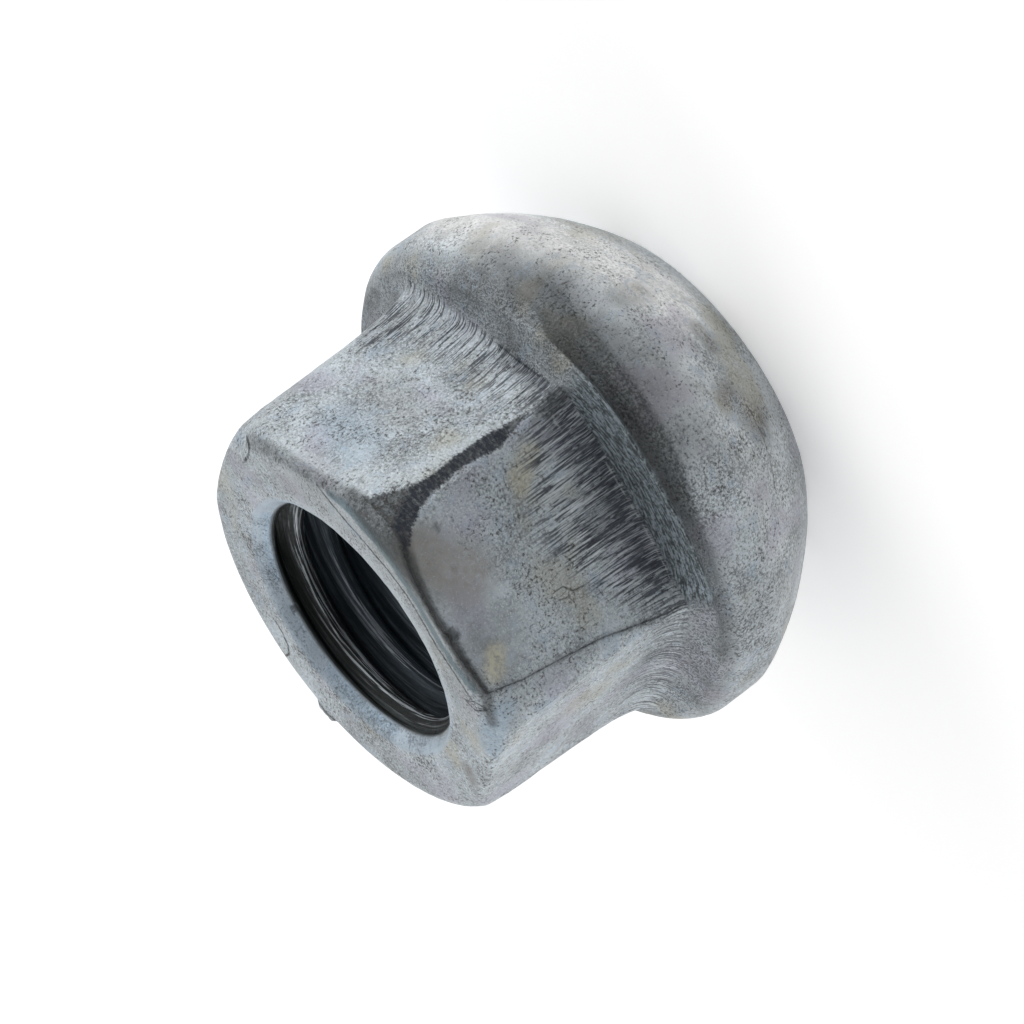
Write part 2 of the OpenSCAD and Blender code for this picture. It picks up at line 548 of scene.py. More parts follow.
# %% All turns, cut level
MOUTH = 17.3
one_turn = bore.verts[:] + bore.edges[:] + bore.faces[:]
for number in range(1, 16):
    copy = bmesh.ops.duplicate(bore, geom=one_turn)["geom"]
    copied = [part for part in copy if isinstance(part, bmesh.types.BMVert)]
    bmesh.ops.translate(bore, verts=copied, vec=(0, 0, PITCH * MM * number))
bmesh.ops.remove_doubles(bore, verts=bore.verts, dist=SAME_POINT)
for level, side in ((MOUTH, 1), (TOP - MOUTH, -1)):
    bmesh.ops.bisect_plane(
        bore,
        geom=bore.verts[:] + bore.edges[:] + bore.faces[:],
        plane_co=(0, 0, level * MM),
        plane_no=(0, 0, side),
        clear_outer=True,
    )
print("thread:", len(bore.verts), "points,", len(bore.faces), "faces")

# %% [markdown]
# At both mouths a countersink widens the hole, and the thread fades into it. Here the points are
# moved outwards to the cone, and the depth of the thread is scaled down near the mouths.

# %% Countersinks
CREST = 5.19
CONE_DEPTH = 1.2
CONE_SLOPE = 0.758
FADE_START = TOP - MOUTH
FADE_LENGTH = 0.35
for vert in bore.verts:
    z = vert.co.z / MM
    r = math.hypot(vert.co.x, vert.co.y) / MM
    from_mouth = min(TOP - z, z)
    cone = CREST + max(0, CONE_DEPTH - from_mouth) * CONE_SLOPE
    fade = min(1, max(0, (from_mouth - FADE_START) / FADE_LENGTH))
    wanted = max(cone, cone + (r - cone) * fade)
    vert.co.x *= wanted / r
    vert.co.y *= wanted / r
bore_mesh = bpy.data.meshes.new("thread")
bore.to_mesh(bore_mesh)
print("hole at its cut end:", round(CREST + (CONE_DEPTH - FADE_START) * CONE_SLOPE, 2), "mm in radius")

# %% [markdown]
# The skin and the thread are joined into one closed solid. Bridging two rings of edges fills
# the narrow gap between them at each mouth. Afterwards the faces are all turned outwards.

# %% One closed piece
whole = bmesh.new()
whole.from_mesh(nut_mesh)
whole.from_mesh(bore_mesh)
for upper in (True, False):
    rims = [
        edge for edge in whole.edges
        if edge.is_boundary and (edge.verts[0].co.z > TOP / 2 * MM) == upper
    ]
    bmesh.ops.bridge_loops(whole, edges=rims)
bmesh.ops.recalc_face_normals(whole, faces=whole.faces)
open_edges = [edge for edge in whole.edges if not edge.is_manifold]
triangles = sum(len(face.verts) - 2 for face in whole.faces)
whole.to_mesh(nut_mesh)
for face in nut_mesh.polygons:
    face.use_smooth = True
print("open edges:", len(open_edges), "triangles:", triangles)

# %% [markdown]
# ## The floor
# The nut stands on a sheet of white paper. Paper that is lit like the nut looks light grey, so a
# little light of its own is added, but only for what the camera, a mirror or glass sees. It
# brightens the background and puts no extra light on the steel, and the shadow stays.

# %% Paper
paper = bpy.data.materials.new("white_paper")
paper.use_nodes = True
paper_nodes, paper_links = paper.node_tree.nodes, paper.node_tree.links
sheet = paper_nodes["Principled BSDF"]
sheet.inputs["Base Color"].default_value = (0.90, 0.90, 0.90, 1)
sheet.inputs["Roughness"].default_value = 1.0
sheet.inputs["Specular IOR Level"].default_value = 0.0
sheet.inputs["Emission Color"].default_value = (1, 1, 1, 1)
ray = paper_nodes.new("ShaderNodeLightPath")
seen = ray.outputs["Is Camera Ray"]
for kind in ("Is Glossy Ray", "Is Transmission Ray"):
    either = paper_nodes.new("ShaderNodeMath")
    either.operation = "MAXIMUM"
    paper_links.new(seen, either.inputs[0])
    paper_links.new(ray.outputs[kind], either.inputs[1])
    seen = either.outputs[0]
glow = paper_nodes.new("ShaderNodeMath")
glow.operation = "MULTIPLY"
PAPER_GLOW = 0.35
glow.inputs[1].default_value = PAPER_GLOW
paper_links.new(seen, glow.inputs[0])
paper_links.new(glow.outputs[0], sheet.inputs["Emission Strength"])
print("paper glow:", PAPER_GLOW)

# %% [markdown]
# The sheet itself is a plain square, wide enough to fill the view.

# %% Sheet
floor_mesh = bpy.data.meshes.new("floor")
floor_shape = bmesh.new()
bmesh.ops.create_grid(floor_shape, x_segments=2, y_segments=2, size=1.5)
floor_shape.to_mesh(floor_mesh)
floor_mesh.materials.append(paper)
floor = bpy.data.objects.new("floor", floor_mesh)
bpy.context.scene.collection.objects.link(floor)
print("floor:", round(floor.dimensions.x, 1), "m wide")

# %% [markdown]
# ## Where the finishes lie
# A used nut isn't one even grey: drawn streaks climb from the foot of the flats, dirt lies in
# the valley of the collar, and cracks and folds run along the edges. Each of these has a place,
# so each gets an attribute, which is a number between 0 and 1 kept at every point of the mesh.
# The material reads it later. A painted image could do the same, but numbers need no file and
# no unwrapping. First, every point's place is read: how far it is round, out and up.

# %% Points to paint on
final = read_points(nut_mesh)
normals = np.zeros(len(final) * 3)
nut_mesh.vertex_normals.foreach_get("vector", normals)
normals = normals.reshape(-1, 3)
px, py, pz = final.T
pr = np.hypot(px, py)
pa = np.degrees(np.arctan2(py, px))
print("points to paint on:", len(final))

# %% [markdown]
# Three helpers paint: one picks the points near a direction, one reads a value that was given
# round the nut at every point, and one keeps the result on the mesh under a name.

# %% Painting helpers


def around(middle, half, soft):
    """1 near a direction, fading to 0 past half a width."""
    off = np.abs((pa - middle + 180) % 360 - 180)
    return 1 - ease(off, half - soft, half + soft)


def round_here(values):
    """Values kept for every direction, read at every point."""
    order = np.argsort(degrees)
    return np.interp(pa, degrees[order], values[order], period=360)


def paint(name, values):
    layer = nut_mesh.attributes.new(name, "FLOAT", "POINT")
    layer.data.foreach_set("value", np.clip(values, 0, 1).astype(np.float32))
    print(name, "covers", round(100 * float((values > 0.05).mean()), 1), "% of the points")


print("points that face the front:", int(around(-90, 30, 3).sum()))

# %% [markdown]
# Marks are drawn as a pencil would draw them, from place to place. A place on the side is given
# by its direction in degrees and its height, and one on the open end or the ledge by its
# direction and its radius. The table of the skin tells where that is in space.

# %% Places on the skin


def skin_rows(first, last):
    return np.where((row_levels >= first) & (row_levels <= last))[0]


FACE_ROWS = skin_rows(0, CROWN + 1)
SIDE_ROWS = skin_rows(CROWN, SEAT_END)
RIM_ROWS = skin_rows(LEDGE, LEDGE + 1)


def skin_column(direction, part):
    """Radii and heights of some rows in one direction, between two columns of the table."""
    spot = direction % 360 * N_ROUND / 360
    low = int(spot)
    share = spot - low
    after = (low + 1) % N_ROUND
    r = radius[part, low] * (1 - share) + radius[part, after] * share
    z = height[part, low] * (1 - share) + height[part, after] * share
    return r, z


def side(*places):
    """Places on the side, given by direction and height."""
    found = []
    for direction, z in places:
        radii, heights = skin_column(direction, SIDE_ROWS)
        r = np.interp(-z, -heights, radii)
        a = math.radians(direction)
        found.append((r * math.cos(a), r * math.sin(a), z))
    return found


def by_radius(part, places):
    found = []
    for direction, r in places:
        radii, heights = skin_column(direction, part)
        a = math.radians(direction)
        found.append((r * math.cos(a), r * math.sin(a), np.interp(r, radii, heights)))
    return found


def end(*places):
    """Places on the open end, given by direction and radius."""
    return by_radius(FACE_ROWS, places)


def on_ledge(*places):
    """Places on the ledge, given by direction and radius."""
    return by_radius(RIM_ROWS, places)


print("a place half way up a flat:", [round(float(v), 2) for v in side((-90, 13))[0]])

# %% [markdown]
# A patch is a soft stroke along such a line, and it may change its width on the way. A thin
# line needs another way, because it is narrower than the distance between two points. It is
# kept as a signed distance: left of the line it counts down, right of it up. The material can
# find the zero between the points, so the line stays sharp.

# %% Strokes


def line_distance(route):
    """Distance from a line, the side of it, and how far along it."""
    best = np.full(len(final), 99.0)
    hand = np.ones(len(final))
    share = np.zeros(len(final))
    for i in range(len(route) - 1):
        a = np.array(route[i])
        along = np.array(route[i + 1]) - a
        t = np.clip((final - a) @ along / (along @ along), 0, 1)
        gap = final - (a + t[:, None] * along)
        distance = np.linalg.norm(gap, axis=1)
        closer = distance < best
        best[closer] = distance[closer]
        hand[closer] = np.sign((np.cross(along, normals) * gap).sum(1))[closer]
        share[closer] = i + t[closer]
    return best, hand, share


def patch(route, width, soft):
    """1 within half a width of a line, fading to 0 outside it; the width may be a list."""
    distance, hand, share = line_distance(route)
    widths = np.broadcast_to(np.array(width, float), (len(route),))
    edge = np.interp(share, np.arange(len(route)), widths / 2)
    return 1 - ease(distance, edge, edge + soft)


def strongest(*masks):
    return np.maximum.reduce(masks)


test_stroke = patch(end((-90, 8), (-80, 8)), 0.5, 0.1)
print("points under a test stroke:", int(test_stroke.sum()))

# %% [markdown]
# Where two thin lines come close, each point keeps the nearer one.

# %% Thin lines


class ThinLines:
    """Thin lines, kept as a signed distance counted in line widths."""

    def __init__(self):
        self.off = np.full(len(final), 8.0)
        self.near = np.zeros(len(final))
        self.closest = np.full(len(final), 99.0)

    def draw(self, route, width, strength):
        distance, hand, share = line_distance(route)
        here = (distance < 0.6) & (distance < self.closest)
        self.closest[here] = distance[here]
        self.off[here] = (distance * hand / width)[here]
        self.near[here] = (strength * (1 - ease(distance, 0.2, 0.4)))[here]

    def keep(self, name):
        layer = nut_mesh.attributes.new(name + "_off", "FLOAT", "POINT")
        layer.data.foreach_set("value", self.off.astype(np.float32))
        paint(name + "_near", self.near)


print("points that thin lines can use:", len(ThinLines().off))

# %% [markdown]
# A patch with its own outline is drawn as a closed line, seen from one side. The steel was
# folded there, so inside it has another colour. It is a signed distance too.

# %% Outlined patch


def outline_patch(outline, facing):
    """Signed distance from a closed outline, positive inside it, seen from one side."""
    facing = np.array(facing) / np.linalg.norm(facing)
    right = np.cross((0, 0, 1), facing)
    right = right / np.linalg.norm(right)
    up = np.cross(facing, right)
    corners = np.array([(np.dot(p, right), np.dot(p, up)) for p in outline])
    x, y = final @ right, final @ up
    best = np.full(len(final), 99.0)
    within = np.zeros(len(final), bool)
    for (ax, ay), (bx, by) in zip(corners, np.roll(corners, -1, axis=0)):
        dx, dy = bx - ax, by - ay
        t = np.clip(((x - ax) * dx + (y - ay) * dy) / (dx * dx + dy * dy), 0, 1)
        best = np.minimum(best, np.hypot(x - ax - t * dx, y - ay - t * dy))
        if dy != 0:
            within ^= ((ay > y) != (by > y)) & (x < dx * (y - ay) / dy + ax)
    signed = np.where(within, best, -best)
    return np.where(normals @ facing > 0.15, signed, -1.0)


test_patch = outline_patch(side((-95, 12), (-85, 12), (-85, 14), (-95, 14)), (0, -1, 0))
print("points in a test patch:", int((test_patch > 0).sum()))

# %% [markdown]
# ### Parts of the nut
# The large parts come first: the hole, the collar with its ledge and ball seat, and the outer
# faces. They are told apart by height and radius alone.

# %% Paint the parts
foot_here = round_here(foot)
rim_here = round_here(rim_radius)
above_foot = pz - foot_here
between_mouths = (1 - ease(pr, 6.3, 6.5)) * ease(pz, 0.6, 0.75) * (1 - ease(pz, 17.28, 17.4))
inside_bore = np.maximum((1 - ease(pr, 5.60, 5.68)) * ease(pz, 0.0, 0.2), between_mouths)
head = ease(pz, foot_here - 0.08, foot_here + 0.06) * ease(pr, 8.2, 8.35)
strip = (1 - ease(above_foot, -0.05, 0.05)) * ease(pz, 7.9, 8.02)
strip = strip * (1 - ease(pr, rim_here - 0.02, rim_here + 0.06)) * around(-90, 29, 3)
bulge = (1 - ease(pz, 7.9, 8.2)) * ease(pr, 7.5, 7.8)
near_face = around(-72, 56, 10) * (1 - ease(pr, 7.9, 8.3)) * ease(pr, 6.35, 6.75) * ease(pz, 17.5, 17.9)
paint("bore", inside_bore)
paint("crest", inside_bore * (1 - ease(pr, 5.21, 5.36)) * ease(pz, 13.0, 16.0))
paint("deep", inside_bore * (1 - ease(pz, 14.8, 16.8)))
paint("strip", strip)
paint("ledge", (1 - ease(above_foot, -0.05, 0.08)) * ease(pz, 7.2, 7.9))
paint("bulge", bulge)
paint("ball", 1 - ease(pz, 4.2, 6.3))
paint("near_face", near_face)
paint("cone", ease(pr, 5.62, 5.70) * (1 - ease(pr, 6.1, 6.2)) * ease(pz, 17.3, 17.4) * (1 - near_face))

# %% [markdown]
# ### Drawn streaks
# The die dragged the steel along the flats, most of all above the ledge. The streaks reach
# furthest up in the middle of a flat, and are darkest in the corner at their foot.

# %% Paint the drawn streaks
STREAK_REACH = [
    (-180, 3.4), (-150, 3.2), (-122, 2.8), (-105, 4.4), (-90, 6.0), (-75, 5.4), (-62, 3.4), (-58, 3.2),
    (-45, 3.6), (-30, 3.4), (-15, 3.6), (0, 3.4), (180, 3.4),
]
reach = round_here(round_about(STREAK_REACH))
drawn = head * (1 - ease(above_foot, 0.1 * reach, reach))
drawn = drawn * strongest(around(-88, 28, 8), 0.6 * around(-30, 32, 8), np.full(len(final), 0.42))
corner_streak = patch(side((1, 8.3), (-2.5, 9.3), (-3, 10.4)), 0.8, 1.3) * head
root_dark = 1.15 * head * (1 - ease(above_foot, 0.0, 2.5)) * around(-87, 27, 5)
low_dark = 0.8 * around(-50, 8, 4) + 0.25 * around(-30, 30, 8)
root_dark = root_dark + head * (1 - ease(above_foot, 0, 1.0)) * low_dark
paint("drawn", strongest(drawn, corner_streak))
paint("root_dark", root_dark + 0.35 * corner_streak)

# %% [markdown]
# ### Valley shade and dirt on the collar
# The valley under the sharp lip is painted dark, partly as painted shade in the hollow and partly as grime
# settled there, in a wide soft patch with a dark middle; grime also spread thinly over the collar. On the
# ball seat are a few small spots, and a brighter stretch along its top, which is a painted highlight.

# %% Paint the valley
VALLEY = [
    (-28.5, 7.3), (-44.5, 7.0), (-51.5, 7.5), (-60.5, 7.5), (-69, 7.5), (-77.5, 7.6), (-86.5, 7.6),
    (-96, 7.7), (-105, 7.7), (-112, 7.8),
]
valley_soft = patch(side(*VALLEY), (0.4, 1.2, 1.6, 1.6, 1.5, 1.2, 0.8, 0.5, 0.3, 0.2), 1.4)
VALLEY_MIDDLE = [(direction, z - 0.12) for direction, z in VALLEY]
valley_core = patch(side(*VALLEY_MIDDLE), (0.2, 1.1, 1.3, 1.3, 1.2, 1.1, 0.9, 0.6, 0.3, 0.1), 0.40)
valley = strongest(0.55 * valley_soft, valley_core) * (1 - ease(pz, 7.92, 8.06)) * (1 - 0.85 * strip)
valley = valley * np.interp(pa, (-116, -105, -92, -70, -46, -30), (0.0, 0.35, 0.85, 1.0, 0.8, 0.15))
paint("valley", valley)

# %% [markdown]
# The dirt follows the same way round, further down. The spots lie low on the ball seat.

# %% Paint the dirt and the painted highlight
dirt_route = side((-26.5, 7.3), (-38, 7.2), (-50, 7.1), (-61, 6.9), (-70.5, 6.6), (-82, 6.4))
dirt = 0.62 * patch(dirt_route, (0.8, 1.4, 1.6, 1.4, 1.0, 0.6), 2.4) * bulge
spots = strongest(
    patch(side((-83.5, 3.4), (-87.5, 2.9), (-93, 2.5)), 0.5, 1.0),
    patch(side((-67, 2.3), (-71.5, 2.3)), 0.3, 0.6),
    0.7 * patch(side((-53, 4.9), (-53.5, 3.5)), 0.3, 0.8),
)
paint("dirt", strongest(dirt, spots))
# The sheen is a painted highlight along the top of the ball seat.
paint("sheen", patch(side((-5.5, 4.8), (-22, 4.5), (-32.5, 3.7), (-43.5, 2.9), (-55, 2.3)), 1.6, 2.4))

# %% [markdown]
# ### Open end
# The near part of the ring was worn dark, with a bluish band where a tool slid over it, and the crown beside
# it is darker, partly dirt and partly painted shade, as it faces away from the light. The far part is
# speckled with fine pits, and the plating has a blue cast round the mouth.

# %% Paint the open end
NEAR_CROWN = [
    (-46.5, 8.83), (-60.5, 8.73), (-69.5, 8.64), (-83, 8.26), (-99, 8.35), (-111.5, 8.80), (-122, 8.71),
]
BLUE_BAND = [
    (-40.5, 8.30), (-50, 8.37), (-58.5, 8.28), (-67, 8.10), (-75, 7.85), (-82.5, 7.68), (-90.5, 7.53),
    (-101, 7.75), (-109.5, 8.38),
]
FAR_RING = [
    (27.5, 6.56), (40.5, 6.25), (57, 6.07), (72.5, 6.10), (86.5, 6.21), (100, 6.29), (116, 6.48),
    (133.5, 6.08), (154.5, 6.03), (179, 6.25),
]
# The near crown is painted darker: partly dirt, partly painted shade where it faces away from the light.
near_crown = strongest(
    patch(end(*NEAR_CROWN), (0.4, 0.9, 0.8, 0.30, 0.22, 0.2, 0.1), 0.30),
    0.7 * patch(end((-2.5, 8.78), (-11, 8.61), (-28, 8.42), (-36.5, 8.48), (-44, 8.68)), 0.25, 0.4),
)
paint("near_crown", near_crown)
paint("blue_band", patch(end(*BLUE_BAND), (0.2, 0.45, 0.5, 0.42, 0.38, 0.38, 0.35, 0.45, 0.4), 0.10))
paint("speckle", patch(end(*FAR_RING), 0.3, 1.0))
mouth_rim = ease(pz, 17.6, 17.9) * (1 - ease(pr, 6.35, 6.6)) * ease(pr, 6.05, 6.15)
paint("mouth_rim", mouth_rim * around(-72, 50, 8))

# %% [markdown]
# ### Tints
# Old zinc turns blue, brown or yellowish in places.

# %% Paint the tints
blue = strongest(
    patch(end((25.5, 5.75), (49.5, 5.65), (66.5, 5.69)), 0.35, 0.25),
    patch(end((114, 5.76), (126.5, 5.81), (140, 5.76), (154.5, 5.73)), 0.3, 0.3),
    patch(side((-118.5, 17.3), (-124.5, 17.8), (-131.5, 17.9)), 0.5, 0.6),
    0.6 * patch(side((-23, 15.2), (-34, 15.6)), 0.8, 1.4),
)
brown = strongest(
    patch(end((-153.5, 7.47), (-157, 7.88)), 0.2, 0.5),
    patch(side((-71, 17.1), (-78, 16.4), (-81.5, 15.8)), 0.9, 1.4),
    0.3 * patch(side((-21, 12.6), (-34.5, 13.2)), 0.6, 1.2),
)
yellow = strongest(
    patch(side((-104, 16.6), (-107, 17.0)), 0.3, 0.6),
    0.8 * patch(side((-67, 11.1), (-70.5, 12.0)), 0.4, 0.7),
    0.6 * patch(side((-139, 13.3), (-143.5, 12.1)), 0.6, 1.0),
)
smooth = strongest(
    patch(side((-73, 17.0), (-87.5, 16.6), (-100.5, 16.2)), 1.4, 1.8),
    0.6 * (1 - ease(pr, 6.1, 6.25)) * ease(pz, 17.3, 17.4),
    inside_bore,
)
paint("blue", blue)
paint("brown", brown)
paint("yellow", yellow)
paint("smudge", head * around(-86, 24, 6) * ease(pz, 14.6, 17.2))
paint("smooth", smooth)

# %% [markdown]
# ### Fold at the near corner
# At one corner the steel folded over itself while it was pressed. A pale ridge runs down its edge, and
# beside it the fold is dark and feathered, partly from the corner's own dark residue and partly as painted
# shade where the crown meets the corner.

# %% Paint the ridge and the fold
RIDGE = [
    (-1.5, 17.0), (-23, 17.4), (-39, 17.2), (-49.5, 16.6), (-54, 15.6), (-55, 13.9), (-56, 12.4),
    (-57.5, 11.0),
]
FOLD_SIDE = [
    (-59.5, 10.2), (-58.5, 10.8), (-57, 12.0), (-57, 13.2), (-57, 14.0), (-57.5, 14.8), (-56.5, 15.7),
    (-55, 16.4), (-52, 17.2), (-46.5, 17.6),
]
FOLD_END = [(-51.5, 9.0), (-57, 9.0), (-62, 8.98), (-67, 8.92)]
FOLD_FLAT = [
    (-69, 17.6), (-67, 17.2), (-65, 16.9), (-63, 16.3), (-61.5, 15.8), (-61, 14.9), (-60.5, 14.2),
    (-60.5, 13.5), (-61.5, 12.7), (-62, 11.9), (-60.5, 11.1),
]
FOLD_DARK = [(-67, 17.4), (-63.5, 17.0), (-61, 16.4), (-60, 15.6), (-59.5, 14.8), (-59, 12.0)]
fold_facing = (0.42, -0.75, 0.50)
# The fold is painted dark: its own dark residue, plus painted shade where the crown meets the corner.
fold = outline_patch(side(*FOLD_SIDE) + end(*FOLD_END) + side(*FOLD_FLAT), fold_facing)
layer = nut_mesh.attributes.new("fold", "FLOAT", "POINT")
layer.data.foreach_set("value", fold.astype(np.float32))
paint("ridge", patch(side(*RIDGE), (0.1, 0.2, 0.3, 0.3, 0.25, 0.2, 0.2, 0.1), 0.45))
paint("fold_dark", patch(side(*FOLD_DARK), (0.3, 0.5, 0.5, 0.6, 0.9, 0.9), 0.55))
# The front flat, outside the fold, is painted darker as painted shade: it faces the darker front of the
# room.
paint("front_flat_shade", head * around(-90, 29, 2) * (1 - 10 * np.clip(fold, 0, 0.1)))

# %% [markdown]
# ### Unfilled corners
# The narrow facets at the corners are rougher than the flats, since no die touched them. Their
# place follows from the widths that shaped them.

# %% Paint the unfilled corners


def facet_mask(corner):
    """1 on the unfilled facet of a corner."""
    angle, right_gap, left_gap = corner
    a = math.radians(angle)
    cx, cy = CORNER * math.cos(a), CORNER * math.sin(a)
    rx, ry = math.cos(a - math.radians(120)), math.sin(a - math.radians(120))
    lx, ly = math.cos(a + math.radians(120)), math.sin(a + math.radians(120))
    along_right = (px - cx) * rx + (py - cy) * ry
    along_left = (px - cx) * lx + (py - cy) * ly
    right = np.interp(pz, GAP_HEIGHTS, right_gap)
    left = np.interp(pz, GAP_HEIGHTS, left_gap)
    right_side = right - along_right - 0.5 * np.clip(along_left, 0, None)
    left_side = left - along_left - 0.5 * np.clip(along_right, 0, None)
    within = np.minimum(right_side, left_side) / 0.5 + 0.5
    low_end, high_end = ease(pz, 8.3, 8.7), 1 - ease(pz, 17.3, 17.8)
    return np.clip(within, 0, 1) * around(angle, 25, 3) * low_end * high_end


facets = 0.6 * facet_mask(CORNER_GAPS[4])
for corner in CORNER_GAPS[:4]:
    facets = facets + 0.8 * facet_mask(corner)
paint("facets", facets)

# %% [markdown]
# ### Cracks, nicks and burr
# The rest are small: a dark seam along the near edge of the open end, a crease down one corner,
# two nicks, a crack, and short scratches. Each has a soft dark halo, and a thin dark line in it.

# %% Paint the soft halos
NEAR_EDGE = [
    (-67.5, 8.94), (-73.5, 8.65), (-80.5, 8.44), (-88, 8.30), (-93, 8.36), (-99, 8.50), (-104.5, 8.67),
    (-111, 8.89),
]
CORNER_CREASE = [
    (-111, 17.6), (-111.5, 17.1), (-113, 16.2), (-114, 15.1), (-115, 13.8), (-116, 12.4), (-117.5, 11.3),
    (-118.5, 10.4), (-119.5, 9.3), (-119, 8.8),
]
halos = strongest(
    patch(end(*NEAR_EDGE), (0.18, 0.18, 0.16, 0.20, 0.20, 0.16, 0.12, 0.06), 0.18),
    patch(end((-92.5, 8.37), (-93.5, 8.43)), 0.42, 0.16),
    0.45 * patch(side(*CORNER_CREASE), 0.04, 0.22),
    0.7 * patch(side((-67.5, 16.1), (-68.5, 16.0)), 0.1, 0.12),
    0.5 * patch(side((-45, 16.9), (-46, 16.9)), 0.1, 0.1),
    0.8 * patch(end((83, 5.64), (84.5, 5.66)), 0.15, 0.12),
    0.8 * patch(side((-61.5, 9.6), (-60.5, 9.0), (-61, 8.8)), 0.3, 0.4),
    0.6 * patch(end((117, 8.45), (120, 8.5), (122.5, 8.45)), 0.16, 0.2),
)
paint("halos", halos)

# %% [markdown]
# Thin dark lines are listed with their width in millimetres and their strength.

# %% Draw the thin dark lines
FACE_LINE = [
    (-38, 8.07), (-45.5, 7.59), (-57, 7.29), (-68, 7.28), (-77, 7.26), (-87.5, 7.15), (-97, 7.13),
    (-106, 7.57), (-113.5, 8.06),
]
DARK_LINES = [
    (end(*NEAR_EDGE), 0.070, 1.0),
    (end(*FACE_LINE), 0.055, 1.0),
    (side(*CORNER_CREASE), 0.028, 0.75),
    (side((-139, 17.9), (-131.5, 17.5), (-126, 16.8), (-123, 15.9), (-123, 15.1)), 0.02, 0.55),
    (end((-0.5, 8.84), (-2.5, 8.57), (-1, 8.27), (3.5, 8.01)), 0.06, 1.0),
    (end((-116, 7.51), (-114.5, 8.25), (-116.5, 8.68)), 0.035, 1.0),
    (end((-116.5, 7.67), (-118, 8.20), (-117, 8.66)), 0.04, 1.0),
    (end((87.5, 6.93), (92, 6.92), (97, 7.16), (100, 7.66), (100, 8.22), (95.5, 8.24)), 0.045, 1.0),
    (end((116.5, 8.36), (118.5, 8.44), (120.5, 8.46), (123, 8.36)), 0.06, 1.0),
    (side((-89, 2.6), (-95.5, 2.7), (-101, 3.0), (-106, 3.4)), 0.028, 0.7),
    (side((-91.5, 2.3), (-97, 2.5), (-102, 2.6)), 0.02, 0.5),
    (side((-100, 13.1), (-100, 12.7), (-102.5, 12.4), (-103, 11.9)), 0.025, 0.6),
    (side((-102.5, 13.1), (-103, 12.7), (-105, 12.6)), 0.02, 0.6),
    (side((-35.5, 8.45), (-45.5, 8.6), (-53.5, 8.7)), 0.03, 0.5),
]
dark_lines = ThinLines()
for route, width, strength in DARK_LINES:
    dark_lines.draw(route, width, strength)
dark_lines.keep("dark")

# %% [markdown]
# Bright lines run along the rim of the ledge, where the line is a painted highlight on its sharp edge, and
# along the foot of the front flat and a few chips, where an edge was worn bare.

# %% Draw the thin bright lines
LEDGE_RIM = [
    (-60.5, 11.22), (-70, 11.27), (-82, 11.04), (-91, 10.98), (-98, 11.06), (-105.5, 11.22), (-114, 11.27),
]
FOOT_LINE = [(-79.5, 8.56), (-90, 8.55), (-96.5, 8.54), (-102.5, 8.54), (-111.5, 8.6)]
BRIGHT_LINES = [
    # The rim of the ledge gets a painted highlight along its sharp edge.
    (on_ledge(*LEDGE_RIM), 0.030, 0.75),
    (side(*FOOT_LINE), 0.030, 0.60),
    (side((-123, 15.1), (-122.5, 13.6), (-123.5, 12.5), (-123.5, 11.7)), 0.10, 0.35),
    (side((-63, 9.5), (-64, 9.5), (-65, 9.5)), 0.05, 0.7),
    (side((-61, 10.1), (-61.5, 9.9), (-61.5, 9.7)), 0.05, 0.6),
]
bright_lines = ThinLines()
for route, width, strength in BRIGHT_LINES:
    bright_lines.draw(route, width, strength)
bright_lines.keep("bright")

# %% [markdown]
# ## The zinc
# One material covers the whole nut. Old zinc is half metal, half chalky skin, so its metallic
# value is in between. The colour is built in layers: an even mottling first, then tints,
# then dirt, then each painted mark. Every pattern is a noise in space, read from the object's
# own coordinates, so it has no seams. Small helpers keep the node tree readable.

# %% Material and node helpers
zinc = bpy.data.materials.new("zinc_plated_steel")
zinc.use_nodes = True
nodes, links = zinc.node_tree.nodes, zinc.node_tree.links
shader = nodes["Principled BSDF"]
nut_mesh.materials.append(zinc)


def node(kind, **settings):
    made = nodes.new(kind)
    for name, value in settings.items():
        setattr(made, name, value)
    return made


def feed(socket, value):
    if isinstance(value, (int, float, tuple)):
        socket.default_value = value
    else:
        links.new(value, socket)


def sums(operation, a, b=0.0):
    made = node("ShaderNodeMath", operation=operation)
    feed(made.inputs[0], a)
    feed(made.inputs[1], b)
    return made.outputs[0]


def times(a, b):
    return sums("MULTIPLY", a, b)


def plus(a, b):
    return sums("ADD", a, b)


print("material:", zinc.name)

# %% [markdown]
# More helpers: one maps a range of values to another with soft ends, one reads a painted
# attribute, one makes a noise, and one lays a colour over another by an amount.

# %% More node helpers


def span(value, low, high, to_low=0.0, to_high=1.0):
    made = node("ShaderNodeMapRange", interpolation_type="SMOOTHSTEP")
    feed(made.inputs["Value"], value)
    feed(made.inputs["From Min"], low)
    feed(made.inputs["From Max"], high)
    feed(made.inputs["To Min"], to_low)
    feed(made.inputs["To Max"], to_high)
    return made.outputs["Result"]


def painted(name):
    return node("ShaderNodeAttribute", attribute_name=name).outputs["Fac"]


def cloud(vector, scale, detail=3.0, rough=0.55, distort=0.0):
    made = node("ShaderNodeTexNoise")
    feed(made.inputs["Vector"], vector)
    feed(made.inputs["Scale"], scale)
    feed(made.inputs["Detail"], detail)
    feed(made.inputs["Roughness"], rough)
    feed(made.inputs["Distortion"], distort)
    return made.outputs["Fac"]


def around_half(noise, amount):
    """A noise moved to swing evenly about nothing."""
    return times(plus(noise, -0.5), amount)


def vector_math(operation, a, b):
    made = node("ShaderNodeVectorMath", operation=operation)
    feed(made.inputs[0], a)
    feed(made.inputs[1], b)
    return made.outputs[0]


def over(amount, below, above):
    """One colour laid over another."""
    made = node("ShaderNodeMix", data_type="RGBA")
    feed(made.inputs[0], amount)
    for socket, colour in ((6, below), (7, above)):
        feed(made.inputs[socket], (*colour, 1) if isinstance(colour, tuple) else colour)
    return made.outputs[2]


print("nodes before the first layer:", len(nodes))

# %% [markdown]
# ### Noises
# Object coordinates are in metres, so a Mapping node turns them to millimetres. The drawn
# streaks use another place: only the direction counts, and the height hardly at all, so that
# the noise is pulled out along the nut.

